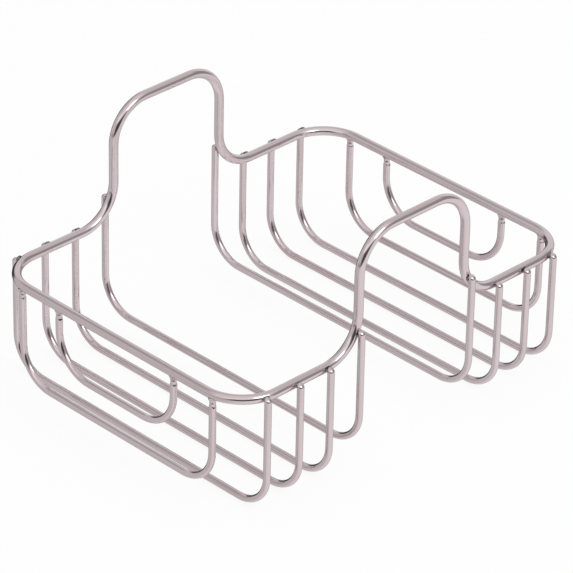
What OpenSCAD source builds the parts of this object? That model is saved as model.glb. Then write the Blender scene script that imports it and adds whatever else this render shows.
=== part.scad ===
// Sponge holder that sits astride the divider of a double sink.
// Two wire baskets hang from one closed frame wire, which rises over the divider in two arches.
// X runs across the divider, Y along it and Z up. The floor wires rest on Z = 0.

/* [Wire] */
// Diameter of the frame wire
frame_wire_d = 4; // [3.2:0.1:5]
// Diameter of the cross wires and the end wires
basket_wire_d = 3; // [2:0.1:3.6]

/* [Arches] */
// Distance between the two legs of an arch, between wire centres
arch_span = 60; // [46:1:90]
// Height of the arches above the rims, between wire centres
arch_height = 52; // [42:0.5:80]
// Bend radius at the shoulders of an arch, to the wire's centre
shoulder_bend_r = 17.5; // [10:0.5:20]
// Bend radius where an arch leg turns out into the rim, to the wire's centre
foot_bend_r = 18; // [12:0.5:20]

/* [Baskets] */
// Length of a basket along the divider, between wire centres
basket_length = 143; // [120:1:200]
// Reach of a basket from the arch legs to its outer rim, between wire centres
basket_reach = 64; // [60:1:90]
// Depth of a basket from its rim to its floor, between wire centres
basket_depth = 51; // [46:0.5:80]
// Bend radius of the two rim corners, to the wire's centre
rim_corner_r = 19; // [12:0.5:20]

/* [Cross wires] */
// Distance from the outer cross wire to the long side of the rim, between wire centres
outer_gap = 12.35; // [9:0.05:18]
// Bend radius where a cross wire's legs turn into the floor, to the wire's centre
floor_bend_r = 15.5; // [8:0.5:20]
// How far the leg tips stand above the middle of the rim, on their high side
tip_rise = 1.1; // [0.5:0.1:3]
// Slant of the cut at the leg tips, which fall away from the rim, in degrees
tip_slant = 24; // [0:1:35]
// How much higher the floor of the inner cross wire lies than the others
inner_floor_lift = 8; // [0:0.1:14]
// How far the tips of the inner cross wire stand above the middle of the rim
inner_tip_rise = 11.4; // [9.4:0.1:14]

/* [End wires] */
// Distance from the middle of a short side to the legs of the long end wire
long_end_inset = 15.5; // [15:0.5:26]
// Depth of the long end wire below the middle of the rim, to its centre
long_end_depth = 43.5; // [34:0.5:45.5]
// Bend radius of the long end wire, to its centre
long_end_bend_r = 16.5; // [8:0.5:20]
// Distance from the middle of a short side to the legs of the short end wire
short_end_inset = 37.75; // [32:0.25:46]
// Depth of the short end wire below the middle of the rim, to its centre
short_end_depth = 28.5; // [24:0.5:30]
// Bend radius of the short end wire, to its centre
short_end_bend_r = 17.5; // [8:0.5:20]

/* [Hidden] */
$fn = 120;

// Colours of the drawn wire and of the weld metal
steel = [0.75, 0.72, 0.73];
weld_steel = [0.55, 0.52, 0.52];

// Signs that place a piece in the left or right basket, and at its front or back
left = -1;
right = 1;
front = -1;
back = 1;

// Places of the cross wires of a basket, from the arch outwards
PLACES = ["inner", "second", "third", "outer"];

// Gap between two welded wires, filled by the weld
weld_gap = 0.2;
// Play between a weld and the wires that it sits on, so that their round faces don't cut into each other
seat_gap = 0.05;
// Radius of a spot weld, as a share of the basket wire's radius
weld_share = 0.8;
// How far below its tip an inner leg crosses the middle of the arch's foot bend
inner_cross_drop = 0.7;
// Fillet under the rim at a leg of an end wire: how far it flares out, and how far down it reaches
flare_out = 0.8;
flare_down = 2.2;
// Share of the frame wire's radius at which the fillet ends on the side of the rim
flare_top_share = 0.6;

frame_r = frame_wire_d / 2;
basket_r = basket_wire_d / 2;
weld_r = weld_share * basket_r;

// The lowest wires lie on Z = 0
floor_z = basket_r;
rim_z = floor_z + basket_depth;
arch_z = rim_z + arch_height;

leg_x = arch_span / 2;
outer_x = leg_x + basket_reach;
side_y = basket_length / 2;

// The rim and the arches meet halfway along the straight stretch of a short side
short_side_start_x = leg_x + foot_bend_r;
short_side_end_x = outer_x - rim_corner_r;
corner_y = side_y - rim_corner_r;
meeting_x = (short_side_start_x + short_side_end_x) / 2;

// Side by side, a cross wire's leg and the frame wire are this far apart
leg_offset = frame_r + basket_r + weld_gap;

// The inner cross wire crosses the foot bend just below its own tips, and is welded below their slanted cuts
tip_drop = basket_wire_d * tan(tip_slant);
inner_cross_x = leg_x + foot_spread(inner_tip_rise - inner_cross_drop);
inner_weld_rise = inner_tip_rise - tip_drop / 2 - weld_r;

// The cross wires are spaced evenly
cross_pitch = (outer_x - outer_gap - inner_cross_x) / (len(PLACES) - 1);

// How far the foot bend has moved out from the arch leg, at a height above the rim
function foot_spread(height) =
    foot_bend_r - sqrt(pow(foot_bend_r, 2) - pow(max(0, foot_bend_r - height), 2));

// How far the foot bend has risen above the rim, at an X short of the straight stretch
function foot_rise(x) =
    foot_bend_r - sqrt(pow(foot_bend_r, 2) - pow(max(0, short_side_start_x - x), 2));

// Y of a line beside the short side that keeps its distance from the rim round the corner
function beside_rim_y(x, distance) =
    corner_y + sqrt(pow(rim_corner_r + distance, 2) - pow(max(0, x - short_side_end_x), 2));

function cross_x(place) = inner_cross_x + search([place], PLACES)[0] * cross_pitch;
function cross_floor_z(place) = place == "inner" ? floor_z + inner_floor_lift : floor_z;
function cross_tip_z(place) = rim_z + (place == "inner" ? inner_tip_rise : tip_rise);
function cross_half_w(place) = beside_rim_y(cross_x(place), leg_offset);

// Heading of the stretch that leaves a point of a path
function heading(points, i) =
    atan2(points[i + 1].y - points[i].y, points[i + 1].x - points[i].x);

// Turn at an inner point of a path, from -180 to 180, left turns positive
function turn_at(points, i) =
    let (turn = heading(points, i) - heading(points, i - 1))
    turn > 180 ? turn - 360 : turn < -180 ? turn + 360 : turn;

// Length that a bend takes from the stretches on both sides of its corner
function bend_takes(points, radii, i) =
    i == 0 || i == len(points) - 1 ? 0 : radii[i] * tan(abs(turn_at(points, i)) / 2);

// One straight stretch of wire in the XY plane, from a point along a heading
module straight_wire(start, along, length, d) {
    translate([start.x, start.y, 0])
        rotate([0, 90, along])
            cylinder(h = length, d = d);
}

// One bend in the XY plane, from a tangent point and heading through a turn
module bend(start, along, turn, r, d) {
    side = sign(turn);
    centre = [start.x - side * r * sin(along), start.y + side * r * cos(along)];
    first = turn > 0 ? along - 90 : along + 90 + turn;
    translate([centre.x, centre.y, 0])
        rotate([0, 0, first])
            rotate_extrude(angle = abs(turn))
                translate([r, 0])
                    circle(d = d);
}

// Round wire along a path in the XY plane, bent at each inner point by that point's radius
module bent_wire(points, radii, d) {
    last = len(points) - 1;
    for (i = [0 : last - 1]) {
        along = heading(points, i);
        step = [cos(along), sin(along)];
        start = points[i] + bend_takes(points, radii, i) * step;
        end = points[i + 1] - bend_takes(points, radii, i + 1) * step;
        straight_wire(start, along, norm(end - start), d);
        if (i + 1 < last)
            bend(end, along, turn_at(points, i + 1), radii[i + 1], d);
    }
}

// Turns a path drawn as X and height to stand across the divider
module stand_across(y) {
    translate([0, y, 0]) rotate([90, 0, 0]) children();
}

// Turns a path drawn as Y and height to stand along the divider
module stand_along(x) {
    translate([x, 0, 0]) rotate([90, 0, 90]) children();
}

// Rim of one basket: two short sides, two corners and the long outer side
module rim(side) {
    points = [
        [side * meeting_x, front * side_y],
        [side * outer_x, front * side_y],
        [side * outer_x, back * side_y],
        [side * meeting_x, back * side_y]
    ];
    translate([0, 0, rim_z])
        bent_wire(points, [0, rim_corner_r, rim_corner_r, 0], frame_wire_d);
}

// One arch with its two feet, which run out into the rims
module arch(end) {
    points = [
        [left * meeting_x, rim_z],
        [left * leg_x, rim_z],
        [left * leg_x, arch_z],
        [right * leg_x, arch_z],
        [right * leg_x, rim_z],
        [right * meeting_x, rim_z]
    ];
    radii = [0, foot_bend_r, shoulder_bend_r, shoulder_bend_r, foot_bend_r, 0];
    stand_across(end * side_y)
        bent_wire(points, radii, frame_wire_d);
}

// The closed frame wire: both rims and both arches in one loop
module frame_wire() {
    color(steel) {
        rim(left);
        rim(right);
        arch(front);
        arch(back);
    }
}

// Half of a U-shaped wire in the XY plane: from its middle along the bottom, round the bend and up a leg
module half_u_wire(half_w, low_z, top_z, bend_r) {
    bent_wire([[0, low_z], [half_w, low_z], [half_w, top_z]], [0, bend_r, 0], basket_wire_d);
}

// Block that slants the cut at a leg's tip: it takes off the outer side, which faces away from the rim
module tip_cut(half_w, tip_z) {
    translate([half_w - basket_r, tip_z, 0])
        rotate([0, 0, -tip_slant])
            translate([-basket_wire_d, 0, -basket_wire_d])
                cube([4 * basket_wire_d, 2 * basket_wire_d, 2 * basket_wire_d]);
}

// Stands both halves of a U-shaped wire along the divider
module both_halves(x) {
    color(steel)
        stand_along(x)
            for (end = [front, back])
                mirror([end == front ? 1 : 0, 0, 0])
                    children();
}

// One U-shaped cross wire, with slanted tips
module cross_wire(side, place) {
    half_w = cross_half_w(place);
    tip_z = cross_tip_z(place);
    both_halves(side * cross_x(place))
        difference() {
            half_u_wire(half_w, cross_floor_z(place), tip_z, floor_bend_r);
            tip_cut(half_w, tip_z);
        }
}

// One U-shaped end wire, hung square from the underside of the outer rim
module end_wire(side, inset, depth, bend_r) {
    both_halves(side * outer_x)
        half_u_wire(side_y - inset, rim_z - depth, rim_z - frame_r - weld_gap, bend_r);
}

module long_end_wire(side) {
    end_wire(side, long_end_inset, long_end_depth, long_end_bend_r);
}

module short_end_wire(side) {
    end_wire(side, short_end_inset, short_end_depth, short_end_bend_r);
}

// Mirrors a piece drawn at the front of the left basket to a side and an end
module at(side, end) {
    mirror([side == right ? 1 : 0, 0, 0])
        mirror([0, end == back ? 1 : 0, 0])
            children();
}

// Straight frame wire along X with its play, which cuts the seat of a weld
module straight_seat(length) {
    translate([-length / 2, 0, 0])
        rotate([0, 90, 0])
            cylinder(h = length, r = frame_r + seat_gap);
}

// Ring of frame wire in the XY plane with its play, which cuts the seat of a weld on a bend
module bend_seat(bend_r) {
    rotate_extrude()
        translate([bend_r, 0])
            circle(r = frame_r + seat_gap);
}

// The frame wire's shape near a leg at the front of the left basket: foot bend, short side or rim corner
module frame_seat(x) {
    if (x < short_side_start_x)
        translate([-short_side_start_x, -side_y, rim_z + foot_bend_r])
            rotate([90, 0, 0])
                bend_seat(foot_bend_r);
    else if (x > short_side_end_x)
        translate([-short_side_end_x, -corner_y, rim_z])
            bend_seat(rim_corner_r);
    else
        translate([-x, -side_y, rim_z])
            straight_seat(4 * weld_r);
}

// Spot weld that fills the gap between a leg and the frame wire, drawn at the front of the left basket
module leg_weld(place) {
    x = cross_x(place);
    rise = place == "inner" ? inner_weld_rise : foot_rise(x);
    turn = asin(max(0, x - short_side_end_x) / (rim_corner_r + leg_offset));
    difference() {
        translate([-x, -cross_half_w(place), rim_z + rise])
            rotate([0, 90, 90 - turn])
                cylinder(h = leg_offset, r = weld_r);
        frame_seat(x);
        translate([-x, -cross_half_w(place), rim_z + rise - 2 * weld_r])
            cylinder(h = 4 * weld_r, r = basket_r + seat_gap);
    }
}

// The spot welds of the second, third and outer legs at one end of a basket
module rim_welds(side, end) {
    color(weld_steel)
        at(side, end)
            for (place = ["second", "third", "outer"])
                leg_weld(place);
}

// The spot welds of the inner legs on the arches' foot bends
module arch_welds(side) {
    color(weld_steel)
        for (end = [front, back])
            at(side, end) leg_weld("inner");
}

// Fillet that flares from an end wire's leg up to the underside of the rim, drawn at the front left
module end_weld(inset) {
    y = side_y - inset;
    flare_r = basket_r + flare_out;
    low_z = -frame_r - flare_down;
    height = -frame_r * flare_top_share - low_z;
    difference() {
        translate([-outer_x, -y, rim_z + low_z])
            rotate_extrude()
                difference() {
                    square([flare_r, height]);
                    translate([basket_r + flare_down, 0])
                        circle(r = flare_down);
                }
        if (y > corner_y)
            translate([-short_side_end_x, -corner_y, rim_z])
                bend_seat(rim_corner_r);
        else
            translate([-outer_x, -y, rim_z])
                rotate([0, 0, 90])
                    straight_seat(4 * flare_r);
        translate([-outer_x, -y, rim_z + low_z - flare_down])
            cylinder(h = 2 * flare_down - weld_gap + seat_gap, r = basket_r + seat_gap);
        for (x = [-frame_r - flare_r, frame_r])
            translate([x - outer_x, -y - flare_r, rim_z + low_z])
                cube([flare_r, 2 * flare_r, 2 * height]);
    }
}

module end_wire_welds(side) {
    color(weld_steel)
        for (end = [front, back])
            at(side, end) {
                end_weld(long_end_inset);
                end_weld(short_end_inset);
            }
}

frame_wire();
cross_wire(left, "inner");  // left_inner_cross_wire
cross_wire(left, "second");  // left_second_cross_wire
cross_wire(left, "third");  // left_third_cross_wire
cross_wire(left, "outer");  // left_outer_cross_wire
long_end_wire(left);  // left_long_end_wire
short_end_wire(left);  // left_short_end_wire
cross_wire(right, "inner");  // right_inner_cross_wire
cross_wire(right, "second");  // right_second_cross_wire
cross_wire(right, "third");  // right_third_cross_wire
cross_wire(right, "outer");  // right_outer_cross_wire
long_end_wire(right);  // right_long_end_wire
short_end_wire(right);  // right_short_end_wire
arch_welds(left);  // left_arch_welds
rim_welds(left, front);  // left_front_rim_welds
rim_welds(left, back);  // left_back_rim_welds
end_wire_welds(left);  // left_end_wire_welds
arch_welds(right);  // right_arch_welds
rim_welds(right, front);  // right_front_rim_welds
rim_welds(right, back);  // right_back_rim_welds
end_wire_welds(right);  // right_end_wire_welds
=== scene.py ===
import math

import bmesh
import bpy
from mathutils import Matrix, Vector, noise


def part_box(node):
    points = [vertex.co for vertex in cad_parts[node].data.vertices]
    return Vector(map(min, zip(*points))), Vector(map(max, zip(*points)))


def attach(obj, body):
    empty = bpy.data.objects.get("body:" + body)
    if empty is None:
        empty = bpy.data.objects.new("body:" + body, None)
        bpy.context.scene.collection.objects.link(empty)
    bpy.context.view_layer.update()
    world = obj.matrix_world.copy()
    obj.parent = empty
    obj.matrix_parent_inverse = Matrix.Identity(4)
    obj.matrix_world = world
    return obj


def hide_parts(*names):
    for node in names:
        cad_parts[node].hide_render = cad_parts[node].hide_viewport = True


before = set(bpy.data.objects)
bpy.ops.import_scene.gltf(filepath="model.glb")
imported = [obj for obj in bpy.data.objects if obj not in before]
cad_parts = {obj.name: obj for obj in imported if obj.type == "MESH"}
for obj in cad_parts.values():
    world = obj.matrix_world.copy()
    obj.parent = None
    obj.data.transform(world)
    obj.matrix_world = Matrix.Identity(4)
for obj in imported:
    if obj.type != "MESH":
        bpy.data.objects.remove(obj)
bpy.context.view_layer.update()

mm = 0.001
sides = {"left": -1, "right": 1}
ends = {"front": -1, "back": 1}


# Shader maths: wraps a socket, so that an expression on values adds its Math nodes
class Value:
    def __init__(self, tree, socket):
        self.tree = tree
        self.socket = socket

    def combine(self, operation, first, second):
        return self.tree.add("ShaderNodeMath", {"operation": operation}, {0: first, 1: second})

    def __add__(self, other):
        return self.combine("ADD", self, other)

    def __sub__(self, other):
        return self.combine("SUBTRACT", self, other)

    def __mul__(self, other):
        return self.combine("MULTIPLY", self, other)

    def __rsub__(self, other):
        return self.combine("SUBTRACT", other, self)

    __radd__ = __add__
    __rmul__ = __mul__


# A node tree whose one method adds any node: its type, its settings, then its sockets
class ShaderTree:
    def __init__(self, tree):
        self.tree = tree
        tree.nodes.clear()

    def add(self, kind, settings=None, sockets=None, output=0):
        node = self.tree.nodes.new(kind)
        for key, setting in (settings or {}).items():
            setattr(node, key, setting)
        for key, given in (sockets or {}).items():
            if isinstance(given, Value):
                self.tree.links.new(given.socket, node.inputs[key])
            else:
                node.inputs[key].default_value = given
        return Value(self, node.outputs[output]) if node.outputs else None

    def blend(self, factor, first, second):  # mixes two colours
        return self.add("ShaderNodeMix", {"data_type": "RGBA"}, {0: factor, 6: first, 7: second}, output=2)

    def stretch(self, vector, scale):
        return self.add("ShaderNodeVectorMath", {"operation": "MULTIPLY"}, {0: vector, 1: scale})

    def grain(self, vector, scale, detail, roughness=0.5):
        sockets = {"Vector": vector, "Scale": scale, "Detail": detail, "Roughness": roughness}
        return self.add("ShaderNodeTexNoise", None, sockets)

    def ramp(self, factor, low, high, shape="LINEAR"):  # 0 at low, 1 at high
        sockets = {"Value": factor, "From Min": low, "From Max": high}
        return self.add("ShaderNodeMapRange", {"clamp": True, "interpolation_type": shape}, sockets)


def newMaterial(name):
    material = bpy.data.materials.new(name)
    material.use_nodes = True
    return material, ShaderTree(material.node_tree)


# Polished drawn steel. The attribute "drawn" gives each point's place on the straightened wire, in
# millimetres: X and Y across it and Z along it, so that the drawing marks follow the wire round its bends.
drawnSteelLook = {
    "tint": (0.637, 0.556, 0.580, 1),
    "warmTint": (0.595, 0.500, 0.512, 1),
    "paleTint": (0.675, 0.630, 0.640, 1),
    "edgeTint": (0.80, 0.77, 0.78, 1),
    "lineScale": (1.8, 1.8, 0.008),
    "linesSeen": (0.3, 0.7),  # where the noise fades in and is full
    "linePaleness": 0.25,
    "cloudScale": (0.25, 0.25, 0.02),
    "cloudsSeen": (0.35, 0.65),
    "dingScale": (0.8, 0.8, 0.12),
    "dingsSeen": (0.55, 0.75),
    "roughness": 0.10,
    "lineRoughness": 0.06,
    "dingRoughness": 0.04,
    "bump": 0.02,
    "bumpDepth": 0.02 * mm,
    "lineShare": 0.7,  # of the bump; the dings have the rest
}


def makeDrawnSteel(name, look):
    material, tree = newMaterial(name)
    place = tree.add("ShaderNodeAttribute", {"attribute_name": "drawn"}, output=1)
    lines = tree.grain(tree.stretch(place, look["lineScale"]), 1, 3, 0.6)
    clouds = tree.grain(tree.stretch(place, look["cloudScale"]), 1, 2)
    dings = tree.grain(tree.stretch(place, look["dingScale"]), 1, 3)
    fineLines = tree.ramp(lines, *look["linesSeen"])
    worn = tree.ramp(dings, *look["dingsSeen"])
    tint = tree.blend(tree.ramp(clouds, *look["cloudsSeen"]), look["tint"], look["warmTint"])
    tint = tree.blend(fineLines * look["linePaleness"], tint, look["paleTint"])
    roughness = look["roughness"] + fineLines * look["lineRoughness"] + worn * look["dingRoughness"]
    height = lines * look["lineShare"] + dings * (1 - look["lineShare"])
    bump = tree.add("ShaderNodeBump", None, {
        "Strength": look["bump"], "Distance": look["bumpDepth"], "Height": height})
    shader = tree.add("ShaderNodeBsdfPrincipled", None, {
        "Base Color": tint, "Roughness": roughness, "Metallic": 1.0, "Specular Tint": look["edgeTint"],
        "Normal": bump})
    tree.add("ShaderNodeOutputMaterial", None, {"Surface": shader})
    return material


# Weld metal: darker and rougher, with small pits and flecks that the polishing left
weldSteelLook = {
    "tint": (0.26, 0.225, 0.235, 1),
    "pitTint": (0.05, 0.042, 0.042, 1),
    "pitScale": 420,
    "pitsSeen": (0.50, 0.62),
    "grainScale": 900,
    "roughness": 0.2,
    "grainRoughness": 0.15,
    "pitRoughness": 0.35,
    "bump": 0.4,
    "bumpDepth": 0.15 * mm,
    "grainHeight": 0.5,
    "pitDepth": 0.5,
}
buttWeldLook = dict(weldSteelLook, tint=(0.60, 0.53, 0.55, 1), pitTint=(0.40, 0.35, 0.36, 1),
                    pitRoughness=0.1, bump=0.1)


def makeWeldSteel(name, look):
    material, tree = newMaterial(name)
    place = tree.add("ShaderNodeTexCoord", None, None, output=3)
    grains = tree.grain(place, look["grainScale"], 3)
    pits = tree.ramp(tree.grain(place, look["pitScale"], 2), *look["pitsSeen"])
    tint = tree.blend(pits, look["tint"], look["pitTint"])
    roughness = look["roughness"] + grains * look["grainRoughness"] + pits * look["pitRoughness"]
    height = grains * look["grainHeight"] - pits * look["pitDepth"]
    bump = tree.add("ShaderNodeBump", None, {
        "Strength": look["bump"], "Distance": look["bumpDepth"], "Height": height})
    shader = tree.add("ShaderNodeBsdfPrincipled", None, {
        "Base Color": tint, "Roughness": roughness, "Metallic": 1.0, "Normal": bump})
    tree.add("ShaderNodeOutputMaterial", None, {"Surface": shader})
    return material


frameSteel = makeDrawnSteel("frameSteel", drawnSteelLook)
basketSteel = makeDrawnSteel("basketSteel", dict(drawnSteelLook, lineScale=(3.0, 3.0, 0.015)))
weldSteel = makeWeldSteel("weldSteel", weldSteelLook)
buttWeldSteel = makeWeldSteel("buttWeldSteel", buttWeldLook)
print("materials ready")


def pieceName(node):  # left_inner_cross_wire becomes leftInnerCrossWire
    first, *others = node.split("_")
    return first + "".join(word.capitalize() for word in others)


def onlyVerts(geometry):
    return [g for g in geometry if isinstance(g, bmesh.types.BMVert)]


def openEdges(geometry):
    return [g for g in geometry if isinstance(g, bmesh.types.BMEdge) and g.is_boundary]


# Grows one round wire, ring by ring, and keeps each point's place on the straightened wire
class WireMaker:
    def __init__(self, start, heading, look):
        self.look = look
        self.mesh = bmesh.new()
        self.drawn = self.mesh.verts.layers.float_vector.new("drawn")
        self.heading = heading.normalized()
        self.middle = start.copy()
        self.travelled = look.get("drawnFrom", 0.0)
        place = Matrix.Translation(start) @ self.heading.to_track_quat("Z", "Y").to_matrix().to_4x4()
        ring = bmesh.ops.create_circle(
            self.mesh, segments=look["sides"], radius=look["diameter"] / 2, matrix=place)["verts"]
        home = place.inverted()
        for point in ring:
            across = home @ point.co / mm
            point[self.drawn] = (across.x, across.y, self.travelled / mm)
        self.edges = list(dict.fromkeys(edge for point in ring for edge in point.link_edges))
        self.firstEdges = self.edges

    def ringVerts(self):
        return list(dict.fromkeys(point for edge in self.edges for point in edge.verts))

    def mark(self, grown, length):
        self.travelled += length
        for point in onlyVerts(grown):
            across = point[self.drawn]
            point[self.drawn] = (across.x, across.y, self.travelled / mm)
        self.edges = openEdges(grown)

    def grow(self, length, scale=1.0):  # one ring further along the heading, perhaps narrower
        grown = bmesh.ops.extrude_edge_only(self.mesh, edges=self.edges)["geom"]
        move = self.heading * length
        bmesh.ops.translate(self.mesh, verts=onlyVerts(grown), vec=move)
        self.middle += move
        if scale != 1.0:
            bmesh.ops.scale(self.mesh, verts=onlyVerts(grown), vec=(scale,) * 3,
                            space=Matrix.Translation(-self.middle))
        self.mark(grown, length)

    def runStraight(self, length):
        rings = max(1, round(length / self.look["straightStep"]))
        for _ in range(rings):
            self.grow(length / rings)

    def bend(self, newHeading, radius):
        axis = self.heading.cross(newHeading).normalized()
        angle = self.heading.angle(newHeading)
        centre = self.middle + axis.cross(self.heading) * radius
        steps = max(1, round(math.degrees(angle) / self.look["bendStep"]))
        for _ in range(steps):
            spun = bmesh.ops.spin(self.mesh, geom=self.edges + self.ringVerts(), cent=centre, axis=axis,
                                  angle=angle / steps, steps=1)["geom_last"]
            self.mark(spun, radius * angle / steps)
        turn = Matrix.Rotation(angle, 3, axis)
        self.middle = centre + turn @ (self.middle - centre)
        self.heading = newHeading.copy()

    def follow(self, points, radii):  # points beyond the current one, with the bend radius at each
        for k, point in enumerate(points[:-1]):
            after = (points[k + 1] - point).normalized()
            angle = self.heading.angle(after)
            takes = radii[k] * math.tan(angle / 2)
            self.runStraight((point - self.middle).length - takes)
            self.bend(after, radii[k])
        self.runStraight((points[-1] - self.middle).length)

    def cap(self):
        for face in bmesh.ops.edgeloop_fill(self.mesh, edges=self.edges)["faces"]:
            face.smooth = False


mergeDistance = 0.0005 * mm
patternStep = 0.4  # metres of drawn wire between one wire's pattern and the next one's


def finishMesh(mesh, name, material, node):
    bmesh.ops.remove_doubles(mesh, verts=mesh.verts, dist=mergeDistance)
    bmesh.ops.recalc_face_normals(mesh, faces=mesh.faces)
    data = bpy.data.meshes.new(name)
    mesh.to_mesh(data)
    mesh.free()
    data.materials.append(material)
    piece = bpy.data.objects.new(name, data)
    bpy.context.scene.collection.objects.link(piece)
    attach(piece, "root")
    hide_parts(node)
    return piece


# The closed frame wire: two rims and two arches in one loop
frameWire = {
    "diameter": 4.0 * mm,
    "legX": 30.0 * mm,
    "outerX": 94.0 * mm,
    "sideY": 71.5 * mm,
    "rimZ": 52.5 * mm,
    "archZ": 104.5 * mm,
    "footRadius": 18.0 * mm,
    "shoulderRadius": 17.5 * mm,
    "cornerRadius": 19.0 * mm,
    "closingWeldX": 62.0 * mm,
    "closingWeldLength": 0.8 * mm,  # the last stretch, which closes the loop
    "sides": 40,
    "bendStep": 6.0,
    "straightStep": 5.0 * mm,
}


def makeFrameWire(wire):
    legX, outerX, sideY = wire["legX"], wire["outerX"], wire["sideY"]
    rimZ, archZ = wire["rimZ"], wire["archZ"]
    foot, shoulder, corner = wire["footRadius"], wire["shoulderRadius"], wire["cornerRadius"]
    start = Vector((wire["closingWeldX"], sideY, rimZ))  # on the right rim's back side, heading outwards
    points = [(outerX, sideY, rimZ), (outerX, -sideY, rimZ)]
    radii = [corner, corner]
    for x, height, radius in [(legX, rimZ, foot), (legX, archZ, shoulder),
                              (-legX, archZ, shoulder), (-legX, rimZ, foot)]:
        points.append((x, -sideY, height))
        radii.append(radius)
    points += [(-outerX, -sideY, rimZ), (-outerX, sideY, rimZ)]
    radii += [corner, corner]
    for x, height, radius in [(-legX, rimZ, foot), (-legX, archZ, shoulder),
                              (legX, archZ, shoulder), (legX, rimZ, foot)]:
        points.append((x, sideY, height))
        radii.append(radius)
    points.append((wire["closingWeldX"] - wire["closingWeldLength"], sideY, rimZ))
    maker = WireMaker(start, Vector((1, 0, 0)), wire)
    maker.follow([Vector(point) for point in points], radii)
    bmesh.ops.bridge_loops(maker.mesh, edges=maker.edges + maker.firstEdges)
    for face in maker.mesh.faces:
        face.smooth = True
    finishMesh(maker.mesh, "frameWire", frameSteel, "frame_wire")


makeFrameWire(frameWire)
print("frame wire ready")

# The cross wires: their boxes in the CAD give all but the bends and the rounded, slanted tips
crossWire = {
    "firstPattern": 1,
    "diameter": 3.0 * mm,
    "floorRadius": 15.5 * mm,
    "tipBreak": 1.1 * mm,
    "tipRings": 7,
    "tipSlant": 24.0,
    "tipLift": {"front": 0.9 * mm, "back": 0.1 * mm},
    "supportRing": 0.15 * mm,  # keeps the rounding of the tip out of the long faces below it
    "sides": 28,
    "bendStep": 6.0,
    "straightStep": 5.0 * mm,
}


def makeCrossWire(node, wire, drawnFrom):
    low, high = (Vector(corner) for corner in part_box(node))
    radius = wire["diameter"] / 2
    x = (low.x + high.x) / 2
    frontY, backY = low.y + radius, high.y - radius
    floorZ = low.z + radius
    frontTop, backTop = (high.z - wire["tipBreak"] + wire["tipLift"][end] for end in ends)
    support = Vector((0, 0, wire["supportRing"]))
    front, back = Vector((x, frontY, frontTop)), Vector((x, backY, backTop))
    maker = WireMaker(front, Vector((0, 0, -1)), dict(wire, drawnFrom=drawnFrom))
    maker.grow(wire["supportRing"])
    maker.follow([Vector((x, frontY, floorZ)), Vector((x, backY, floorZ)), back - support],
                 [wire["floorRadius"]] * 2)
    maker.grow(wire["supportRing"])
    for face in maker.mesh.faces:
        face.smooth = True
    breakEdge(maker, wire)
    maker.edges = maker.firstEdges
    maker.middle = front
    breakEdge(maker, wire)
    fall = math.tan(math.radians(wire["tipSlant"]))
    rimFace = high.y - wire["diameter"]  # the side of the leg that faces the rim
    for point in maker.mesh.verts:  # from the support ring upwards, the cut falls away from the rim
        straightTop = frontTop if point.co.y < 0 else backTop
        if point.co.z > straightTop - wire["supportRing"] * 1.5:
            point.co.z -= fall * (abs(point.co.y) - rimFace)
    finishMesh(maker.mesh, pieceName(node), basketSteel, node)


# Rounds the edge of a cut end in a few rings and closes it
def breakEdge(maker, wire):
    maker.heading = Vector((0, 0, 1))
    radius, edge, rings = wire["diameter"] / 2, wire["tipBreak"], wire["tipRings"]
    before = radius
    for k in range(1, rings + 1):
        angle = math.radians(90 * k / rings)
        lift = edge * (math.sin(angle) - math.sin(math.radians(90 * (k - 1) / rings)))
        width = radius - edge + edge * math.cos(angle)
        maker.grow(lift, width / before)
        before = width
    for face in maker.mesh.faces:
        face.smooth = True
    maker.cap()


places = ["inner", "second", "third", "outer"]
for s, side in enumerate(sides):
    for p, place in enumerate(places):
        pattern = crossWire["firstPattern"] + s * len(places) + p
        makeCrossWire(f"{side}_{place}_cross_wire", crossWire, pattern * patternStep)
print("cross wires ready")

# The end wires: the last stretch below the rim is a little narrower, drawn in by the weld
endWire = {
    "firstPattern": 11,
    "diameter": 3.0 * mm,
    "shoulderShare": 0.97,  # of the diameter, halfway up the shoulder
    "neckDiameter": 2.65 * mm,
    "neckLength": 3.1 * mm,
    "neckShoulder": 0.35 * mm,
    "supportRing": 0.12 * mm,  # on both sides of the shoulder
    "intoRim": 1.2 * mm,
    "longRadius": 16.5 * mm,
    "shortRadius": 17.5 * mm,
    "sides": 28,
    "bendStep": 6.0,
    "straightStep": 4.0 * mm,
}


def growNeck(maker, wire, length):
    maker.heading = Vector((0, 0, 1))
    halfway = wire["diameter"] * wire["shoulderShare"]
    maker.grow(wire["neckShoulder"] / 2, wire["shoulderShare"])
    maker.grow(wire["neckShoulder"] / 2, wire["neckDiameter"] / halfway)
    maker.grow(wire["supportRing"])
    maker.runStraight(length - wire["neckShoulder"] - wire["supportRing"])
    maker.cap()


def makeEndWire(side, size, wire, drawnFrom):
    node = f"{side}_{size}_end_wire"
    low, high = (Vector(corner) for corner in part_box(node))
    radius = wire["diameter"] / 2
    x = (low.x + high.x) / 2
    frontY, backY = low.y + radius, high.y - radius
    lowZ = low.z + radius
    neckZ = high.z - wire["neckLength"]
    maker = WireMaker(Vector((x, frontY, neckZ)), Vector((0, 0, -1)), dict(wire, drawnFrom=drawnFrom))
    maker.grow(wire["supportRing"])
    maker.follow([Vector((x, frontY, lowZ)), Vector((x, backY, lowZ)),
                  Vector((x, backY, neckZ - wire["supportRing"]))], [wire[size + "Radius"]] * 2)
    maker.grow(wire["supportRing"])
    for face in maker.mesh.faces:
        face.smooth = True
    neck = wire["neckLength"] + wire["intoRim"]
    growNeck(maker, wire, neck)
    maker.edges = maker.firstEdges
    maker.middle = Vector((x, frontY, neckZ))
    growNeck(maker, wire, neck)
    for face in maker.mesh.faces:
        face.smooth = True
    finishMesh(maker.mesh, pieceName(node), basketSteel, node)


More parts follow.
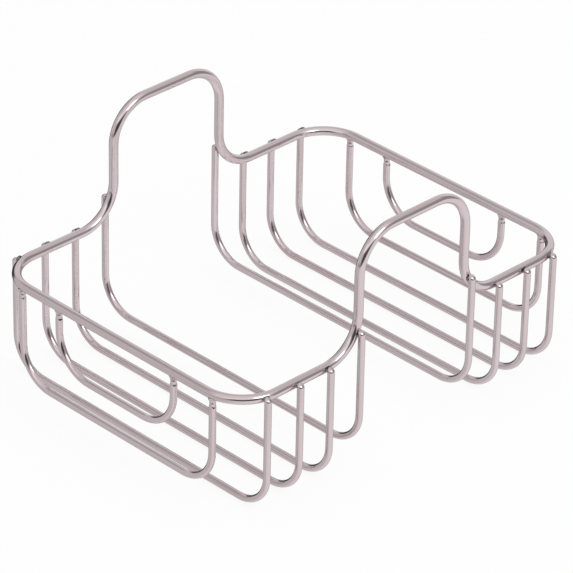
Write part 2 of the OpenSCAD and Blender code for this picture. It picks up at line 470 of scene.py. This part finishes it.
endSizes = ["long", "short"]
for s, side in enumerate(sides):
    for p, size in enumerate(endSizes):
        pattern = endWire["firstPattern"] + s * len(endSizes) + p
        makeEndWire(side, size, endWire, pattern * patternStep)
print("end wires ready")

# Spot welds between the legs and the frame wire, and fillets under the long rims
spotWeld = {
    "width": 3.2 * mm,
    "height": 2.6 * mm,
    "thickness": 1.9 * mm,
    "rough": 0.09,
    "roughScale": 1300,
    "segments": 28,
    "rings": 18,
    "rise": 0.35 * mm,
    "innerDrop": 1.87 * mm,
    "legGap": 0.2 * mm,
}


def addBead(mesh, place, toLeg, weld):
    turn = Matrix((Vector((0, 0, 1)).cross(toLeg), (0, 0, 1), toLeg)).transposed().to_4x4()
    size = Matrix.Diagonal((weld["width"] / 2, weld["height"] / 2, weld["thickness"] / 2, 1))
    bead = bmesh.ops.create_uvsphere(mesh, u_segments=weld["segments"], v_segments=weld["rings"], radius=1,
                                     matrix=Matrix.Translation(place) @ turn @ size)["verts"]
    for point in bead:
        lump = 1 + weld["rough"] * noise.noise(point.co * weld["roughScale"])
        point.co = place + (point.co - place) * lump


def makeSpotWelds(node, crossings):
    mesh = bmesh.new()
    for place, toLeg in crossings:
        addBead(mesh, place, toLeg, spotWeld)
    for face in mesh.faces:
        face.smooth = True
    finishMesh(mesh, pieceName(node), weldSteel, node)


def legTip(node, end):
    low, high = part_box(node)
    radius = crossWire["diameter"] / 2
    y = low[1] + radius if end < 0 else high[1] - radius
    return Vector(((low[0] + high[0]) / 2, y, high[2]))


# The middle of the weld, and the direction from the frame wire to the leg
def rimCrossing(side, place, end):
    leg = legTip(f"{side}_{place}_cross_wire", end)
    leg.z = frameWire["rimZ"]
    cornerX = sides[side] * (frameWire["outerX"] - frameWire["cornerRadius"])
    cornerY = end * (frameWire["sideY"] - frameWire["cornerRadius"])
    centre = Vector((cornerX, cornerY, leg.z))
    pastCorner = (leg.x - cornerX) * sides[side] > 0
    toLeg = (leg - centre).normalized() if pastCorner else Vector((0, end, 0))
    contact = leg - toLeg * (crossWire["diameter"] / 2 + spotWeld["legGap"] / 2)
    contact.z += spotWeld["rise"]
    return contact, toLeg


for side in sides:
    for endName, end in ends.items():
        crossings = [rimCrossing(side, place, end) for place in places[1:]]
        makeSpotWelds(f"{side}_{endName}_rim_welds", crossings)
    archCrossings = []
    for end in ends.values():
        leg = legTip(f"{side}_inner_cross_wire", end)
        toLeg = Vector((0, end, 0))
        leg.z -= spotWeld["innerDrop"]
        archCrossings.append((leg - toLeg * (crossWire["diameter"] / 2 + spotWeld["legGap"] / 2), toLeg))
    makeSpotWelds(f"{side}_arch_welds", archCrossings)

# The fillets are ground smooth. Each leg has a small dark bead below the weld metal, on its outer side. The
# profile is in millimetres: the distance from the leg's middle, and the height from the middle of the rim.
endWeld = {
    "profile": [(1.28, -4.6), (1.30, -4.0), (1.34, -3.5), (1.42, -3.0),
                (1.56, -2.6), (1.76, -2.2), (1.98, -1.8), (2.0, -1.3)],
    "acrossShare": 0.9,
    "rough": 0.02,
    "roughScale": 900,
    "steps": 28,
    "darkBeadHeadings": {"long": 205, "short": 200},
    "darkBeadHeight": -5.4 * mm,
    "darkBeadWidths": {"long": 0.8 * mm, "short": 1.5 * mm},
    "darkBeadTall": 0.8 * mm,
    "darkBeadDeep": 0.4 * mm,
    "darkBeadSegments": 12,
    "darkBeadRings": 8,
}


def addFillet(mesh, place, weld):
    points = [mesh.verts.new((r * mm, 0, z * mm)) for r, z in weld["profile"]]
    edges = [mesh.edges.new(pair) for pair in zip(points, points[1:])]
    bmesh.ops.spin(mesh, geom=points + edges, cent=(0, 0, 0), axis=(0, 0, 1), angle=math.tau,
                   steps=weld["steps"], use_merge=True)
    made = list(dict.fromkeys(v for p in points for v in joined(p)))
    bmesh.ops.scale(mesh, verts=made, vec=(weld["acrossShare"], 1, 1))
    for point in made:
        lump = 1 + weld["rough"] * noise.noise((point.co + place) * weld["roughScale"])
        point.co = Vector((point.co.x * lump, point.co.y * lump, point.co.z)) + place


def joined(start):  # every vertex of the shell that a vertex belongs to
    found, todo = {start: None}, [start]
    while todo:
        for edge in todo.pop().link_edges:
            for point in edge.verts:
                if point not in found:
                    found[point] = None
                    todo.append(point)
    return list(found)


# A small dark bead, sunk in the leg for three quarters of its depth
def addDarkBead(mesh, place, size, outwards, weld):
    heading = math.radians(weld["darkBeadHeadings"][size])
    toSurface = Vector((-math.sin(heading) * outwards, math.cos(heading), 0))
    outFromLeg = toSurface * (endWire["diameter"] / 2 - weld["darkBeadDeep"] / 4)
    middle = place + outFromLeg + Vector((0, 0, weld["darkBeadHeight"]))
    turn = Matrix((Vector((0, 0, 1)).cross(toSurface), (0, 0, 1), toSurface)).transposed().to_4x4()
    spread = Matrix.Diagonal((weld["darkBeadWidths"][size] / 2, weld["darkBeadTall"] / 2, weld["darkBeadDeep"] / 2, 1))
    bead = bmesh.ops.create_uvsphere(mesh, u_segments=weld["darkBeadSegments"], v_segments=weld["darkBeadRings"],
                                     radius=1, matrix=Matrix.Translation(middle) @ turn @ spread)["verts"]
    for point in bead:
        for face in point.link_faces:
            face.material_index = 1


for side in sides:
    mesh = bmesh.new()
    for size in endSizes:
        low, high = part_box(f"{side}_{size}_end_wire")
        radius = endWire["diameter"] / 2
        for y in [low[1] + radius, high[1] - radius]:
            leg = Vector(((low[0] + high[0]) / 2, y, frameWire["rimZ"]))
            addFillet(mesh, leg, endWeld)
            addDarkBead(mesh, leg, size, sides[side], endWeld)
    bmesh.ops.holes_fill(mesh, edges=[edge for edge in mesh.edges if edge.is_boundary], sides=0)
    for face in mesh.faces:
        face.smooth = True
    welds = finishMesh(mesh, f"{side}EndWireWelds", buttWeldSteel, f"{side}_end_wire_welds")
    welds.data.materials.append(weldSteel)  # for the dark beads
print("welds ready")

# Studio: a pale floor in a light tent, with one softbox in front. The tent's darker and brighter zones show
# in the metal alone. The metal doesn't mirror the floor, so it shows the tent below the floor too. Headings
# are degrees clockwise from the back, seen from above. A zone fades in and out between its two numbers on
# each side; its change is the share of the light that it takes away or adds.
studio = {
    "floorSize": 6.0,
    "floorColour": (0.92, 0.92, 0.92, 1),
    "floorWhite": 0.88,
    "tentLevel": 0.97,
    "fillLevel": 0.9,
    "zones": [
        {"heading": 215, "halfWidth": (20, 48), "rise": (-8, -3), "fall": (20, 34), "change": -0.92},
        {"heading": 128, "halfWidth": (22, 42), "rise": (-8, -2), "fall": (30, 50), "change": -0.6},
        {"heading": 310, "halfWidth": (45, 80), "rise": (-70, -50), "fall": (50, 62), "change": -0.22},
        {"heading": 5, "halfWidth": (25, 50), "rise": (36, 44), "fall": (58, 70), "change": -0.32},
        {"heading": 85, "halfWidth": (30, 55), "rise": (30, 38), "fall": (60, 75), "change": -0.18},
        {"heading": 275, "halfWidth": (15, 40), "rise": (-6, -4), "fall": (0, 3), "change": -0.5},
        {"heading": 45, "halfWidth": (20, 50), "rise": (-60, -42), "fall": (-18, -5), "change": -0.5},
        {"heading": 165, "halfWidth": (30, 60), "rise": (-80, -60), "fall": (-15, -8), "change": 0.06},
        {"heading": 200, "halfWidth": (45, 75), "rise": (28, 36), "fall": (55, 68), "change": 0.2},
        {"heading": 268, "halfWidth": (12, 28), "rise": (22, 30), "fall": (44, 54), "change": 0.5},
        {"heading": 13, "halfWidth": (13, 23), "rise": (-30, -22), "fall": (12, 24), "change": -0.93},
    ],
    "softbox": {"at": (0, -0.85, 0.85), "size": 0.55, "power": 2.2},
}


def cosine(degrees):
    return math.cos(math.radians(degrees))


def sine(degrees):
    return math.sin(math.radians(degrees))


def facing(tree, direction, zone):  # 1 where a direction looks at the zone's heading
    flat = tree.add("ShaderNodeVectorMath", {"operation": "NORMALIZE"}, {
        0: tree.stretch(direction, (1, 1, 0))})
    heading = (sine(zone["heading"]), cosine(zone["heading"]), 0)
    agreement = tree.add("ShaderNodeVectorMath", {"operation": "DOT_PRODUCT"}, {
        0: flat, 1: heading}, output=1)
    inner, outer = zone["halfWidth"]
    return tree.ramp(agreement, cosine(outer), cosine(inner), "SMOOTHSTEP")


def lightPath(tree, kind):
    node = tree.add("ShaderNodeLightPath").socket.node
    return Value(tree, node.outputs[kind])


def makeFloor(look):
    mesh = bmesh.new()
    bmesh.ops.create_grid(mesh, x_segments=1, y_segments=1, size=look["floorSize"] / 2)
    data = bpy.data.meshes.new("floor")
    mesh.to_mesh(data)
    mesh.free()
    material, tree = newMaterial("paleFloor")
    diffuse = tree.add("ShaderNodeBsdfDiffuse", None, {"Color": look["floorColour"]})
    white = tree.add("ShaderNodeEmission", None, {"Color": (1, 1, 1, 1), "Strength": 1})
    share = lightPath(tree, "Is Camera Ray") * look["floorWhite"]
    shader = tree.add("ShaderNodeMixShader", None, {0: share, 1: diffuse, 2: white})
    tree.add("ShaderNodeOutputMaterial", None, {"Surface": shader})
    data.materials.append(material)
    floor = bpy.data.objects.new("floor", data)
    floor.visible_glossy = False
    bpy.context.scene.collection.objects.link(floor)


def makeSoftbox(lamp):
    light = bpy.data.lights.new("softbox", "AREA")
    light.shape = "DISK"
    light.size = lamp["size"]
    light.energy = lamp["power"]
    piece = bpy.data.objects.new("softbox", light)
    piece.location = lamp["at"]
    piece.rotation_euler = Vector(lamp["at"]).to_track_quat("Z", "Y").to_euler()
    bpy.context.scene.collection.objects.link(piece)


def makeTent(look):
    world = bpy.data.worlds.new("lightTent")
    world.use_nodes = True
    bpy.context.scene.world = world
    tree = ShaderTree(world.node_tree)
    direction = tree.add("ShaderNodeTexCoord")
    height = tree.add("ShaderNodeSeparateXYZ", None, {0: direction}, output=2)
    level = look["tentLevel"]
    for zone in look["zones"]:
        rise = tree.ramp(height, sine(zone["rise"][0]), sine(zone["rise"][1]), "SMOOTHSTEP")
        fall = tree.ramp(height, sine(zone["fall"][1]), sine(zone["fall"][0]), "SMOOTHSTEP")
        level = level * (1 + facing(tree, direction, zone) * rise * fall * zone["change"])
    mirrored = lightPath(tree, "Is Glossy Ray")
    plain = look["fillLevel"] + lightPath(tree, "Is Camera Ray") * (1 - look["fillLevel"])
    strength = plain + mirrored * (level - plain)
    light = tree.add("ShaderNodeBackground", None, {"Color": (1, 1, 1, 1), "Strength": strength})
    tree.add("ShaderNodeOutputWorld", None, {"Surface": light})


makeFloor(studio)
makeSoftbox(studio["softbox"])
makeTent(studio)
print("studio ready")

# Camera at the photograph's angle, aimed from the middle of the rims' plane
photoView = {
    "azimuth": -44.92,
    "elevation": 30.87,
    "roll": 1.195,
    "distance": 1691.8 * mm,
    "right": 0.50 * mm,
    "up": -11.78 * mm,
    "focalPixels": 4123.22,
    "imagePixels": 573,
    "sensor": 36.0,
    "clipEnd": 20,
}


def makeCamera(view):
    azimuth, elevation = math.radians(view["azimuth"]), math.radians(view["elevation"])
    away = Vector((math.sin(azimuth) * math.cos(elevation), -math.cos(azimuth) * math.cos(elevation),
                   math.sin(elevation)))
    right = Vector((math.cos(azimuth), math.sin(azimuth), 0))
    up = away.cross(right)
    roll = math.radians(view["roll"])
    right, up = (math.cos(roll) * right + math.sin(roll) * up, math.cos(roll) * up - math.sin(roll) * right)
    data = bpy.data.cameras.new("photoCamera")
    data.sensor_width = view["sensor"]
    data.lens = view["sensor"] * view["focalPixels"] / view["imagePixels"]
    data.clip_end = view["clipEnd"]
    camera = bpy.data.objects.new("photoCamera", data)
    middle = Vector((0, 0, frameWire["rimZ"]))
    camera.matrix_world = Matrix.Translation(
        middle + away * view["distance"] + right * view["right"] + up * view["up"]
    ) @ Matrix((right, up, away)).transposed().to_4x4()
    bpy.context.scene.collection.objects.link(camera)
    bpy.context.scene.camera = camera


makeCamera(photoView)
bpy.context.scene.view_settings.view_transform = "Standard"
print("camera ready")
